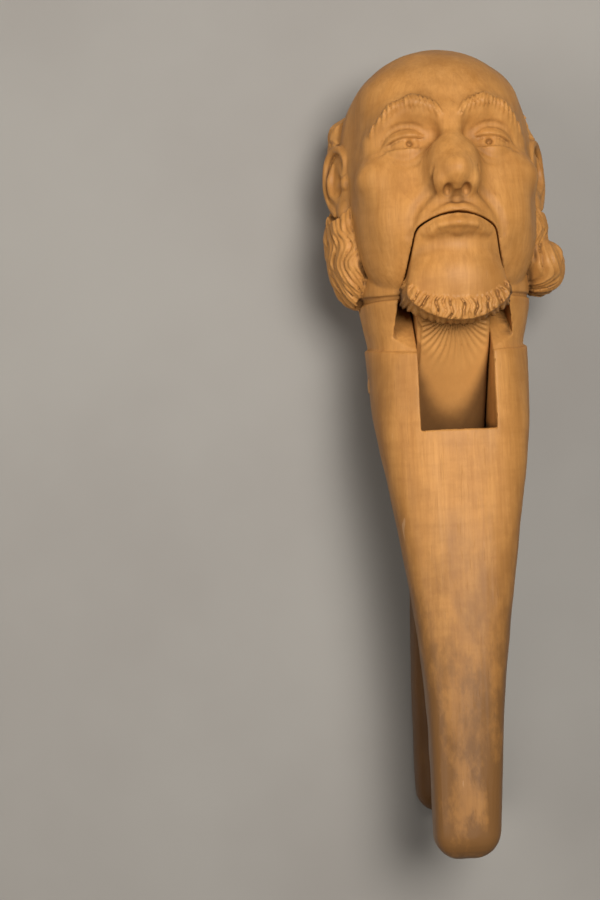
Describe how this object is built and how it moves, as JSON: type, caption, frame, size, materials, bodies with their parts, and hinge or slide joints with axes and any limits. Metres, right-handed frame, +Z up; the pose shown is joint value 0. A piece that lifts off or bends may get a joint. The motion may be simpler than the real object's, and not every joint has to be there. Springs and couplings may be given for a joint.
{
  "type": "lever nutcracker",
  "caption": "Carved wooden lever nutcracker in the form of a bearded old man's head, with a jaw lever that swings on a cross pin.",
  "frame": {"origin": "on the surface that it lies on, under the middle of its length and width", "axes": "+Z up, out of the face, +Y from the handles to the crown of the head, +X to the right as the face is looked at"},
  "size_m": [0.0594, 0.2061, 0.0666],
  "materials": {
    "carved_wood": "satin, hand worn",
    "lever_wood": "satin, hand worn",
    "pin_wood": "matt end grain"
  },
  "bodies": {
    "jaw_lever": {"jaw_lever": "lever_wood"},
    "head_and_handle": {"head_and_front_handle": "carved_wood", "pivot_pin": "pin_wood"}
  },
  "joints": [
    {"name": "jaw_hinge", "type": "hinge", "parent": "jaw_lever", "child": "head_and_handle", "pos_m": [0, 0.017, 0.032], "axis": [-1, 0, 0], "range_deg": [0, 28]}
  ]
}
